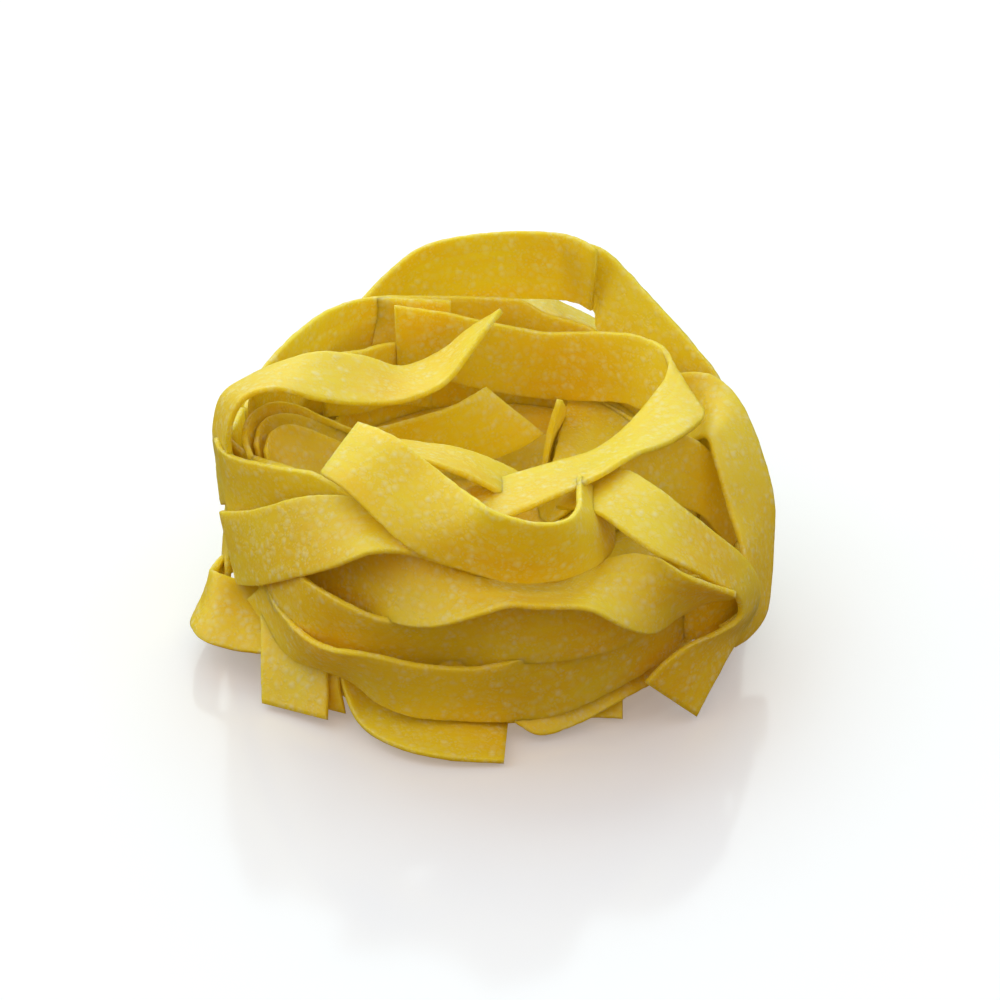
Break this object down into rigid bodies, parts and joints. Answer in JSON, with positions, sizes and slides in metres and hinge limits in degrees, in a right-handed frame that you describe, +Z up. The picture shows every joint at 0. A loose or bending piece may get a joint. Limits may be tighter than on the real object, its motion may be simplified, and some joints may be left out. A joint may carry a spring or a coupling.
{
  "type": "dry pasta nest",
  "caption": "Nest of dry flat egg pasta: broad ribbons coiled into a low bowl with a hollow on top and loose ends at the foot.",
  "frame": {"origin": "middle of the base, on the surface that the nest stands on", "axes": "+Z up, -Y towards the front where the loose ends lie, +X to the right seen from the front"},
  "size_m": [0.0596, 0.0556, 0.0331],
  "materials": {
    "pasta": "dry egg pasta, smooth to slightly rough, slightly translucent, with pale semolina specks"
  },
  "bodies": {
    "root": {"nest": "pasta"}
  },
  "joints": []
}
